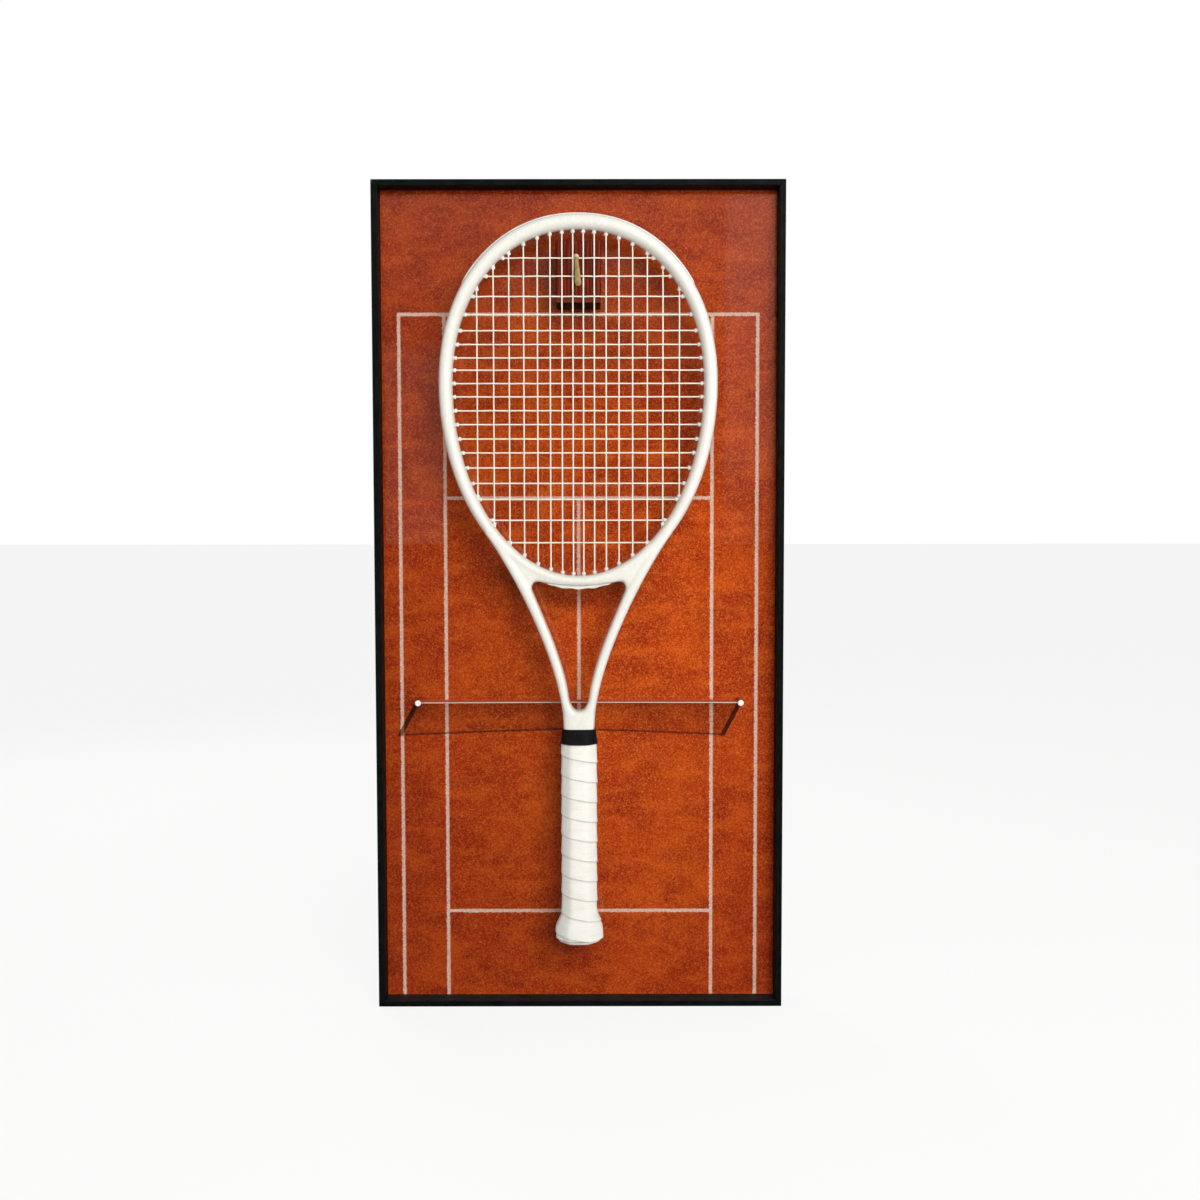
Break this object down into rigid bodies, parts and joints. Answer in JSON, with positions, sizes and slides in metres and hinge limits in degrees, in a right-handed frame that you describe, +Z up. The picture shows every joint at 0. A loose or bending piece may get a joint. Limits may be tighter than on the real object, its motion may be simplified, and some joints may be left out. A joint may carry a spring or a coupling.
{
  "type": "tennis racket display frame",
  "caption": "Slim black wall tray with a clay tennis court print, a small net between posts, and a wooden block whose brass hook holds a white strung racket by its strings.",
  "frame": {"origin": "middle of the rear face of the top rail, where the tray lies against the wall", "axes": "+X to the right as seen from the front, +Y into the wall, +Z up along the tray's length"},
  "size_m": [0.39, 0.0774, 0.79],
  "materials": {
    "black_lacquer": "satin black lacquer on moulded wood",
    "zinc_steel": "bright zinc plate",
    "board": "plain fibre board",
    "clay_print": "matt printed sheet",
    "clear_acrylic": "clear and polished",
    "dark_wood": "reddish brown stain under thin varnish",
    "brass": "polished",
    "post_white": "smooth off-white",
    "net_brown": "thin open mesh",
    "net_cord": "white tape",
    "racket_white": "glossy white paint",
    "guard_white": "moulded, slightly satin",
    "string_white": "smooth round string",
    "pallet_grey": "moulded foam",
    "grip_white": "soft wound tape",
    "collar_black": "black, slightly glossy"
  },
  "bodies": {
    "tray": {"rail_top": "black_lacquer", "rail_right": "black_lacquer", "rail_bottom": "black_lacquer", "rail_left": "black_lacquer", "corner_bracket_top_left": "zinc_steel", "corner_bracket_top_right": "zinc_steel", "corner_bracket_bottom_right": "zinc_steel", "corner_bracket_bottom_left": "zinc_steel", "bracket_screw_top_left_1": "zinc_steel", "bracket_screw_top_left_2": "zinc_steel", "bracket_screw_top_right_1": "zinc_steel", "bracket_screw_top_right_2": "zinc_steel", "bracket_screw_bottom_right_1": "zinc_steel", "bracket_screw_bottom_right_2": "zinc_steel", "bracket_screw_bottom_left_1": "zinc_steel", "bracket_screw_bottom_left_2": "zinc_steel", "keyhole_plate_left": "zinc_steel", "keyhole_plate_right": "zinc_steel", "keyhole_screw_left_a": "zinc_steel", "keyhole_screw_left_b": "zinc_steel", "keyhole_screw_right_a": "zinc_steel", "keyhole_screw_right_b": "zinc_steel", "backing_board": "board", "court_print": "clay_print", "acrylic_sheet": "clear_acrylic", "panel_screw_left_1": "zinc_steel", "panel_screw_left_2": "zinc_steel", "panel_screw_left_3": "zinc_steel", "panel_screw_right_1": "zinc_steel", "panel_screw_right_2": "zinc_steel", "panel_screw_right_3": "zinc_steel", "hook_block": "dark_wood", "block_screw_upper": "zinc_steel", "block_screw_lower": "zinc_steel", "net_post_left": "post_white", "net_post_right": "post_white", "net_mesh": "net_brown", "net_band": "net_cord"},
    "hook": {"hook_peg": "brass"},
    "racket": {"racket_frame": "racket_white", "bumper_guard": "guard_white", "throat_grommet_strip": "guard_white", "string_bed": "string_white", "handle_pallet": "pallet_grey", "butt_cap": "guard_white", "overgrip": "grip_white", "grip_collar": "collar_black"}
  },
  "joints": [
    {"name": "racket_swing", "type": "hinge", "parent": "tray", "child": "hook", "pos_m": [0, -0.055, -0.09], "axis": [0, -1, 0], "range_deg": [-15, 15]},
    {"name": "racket_lift_off", "type": "slide", "parent": "hook", "child": "racket", "axis": [-0.0432, -0.7071, 0.7058], "range_m": [0, 0.045]}
  ]
}
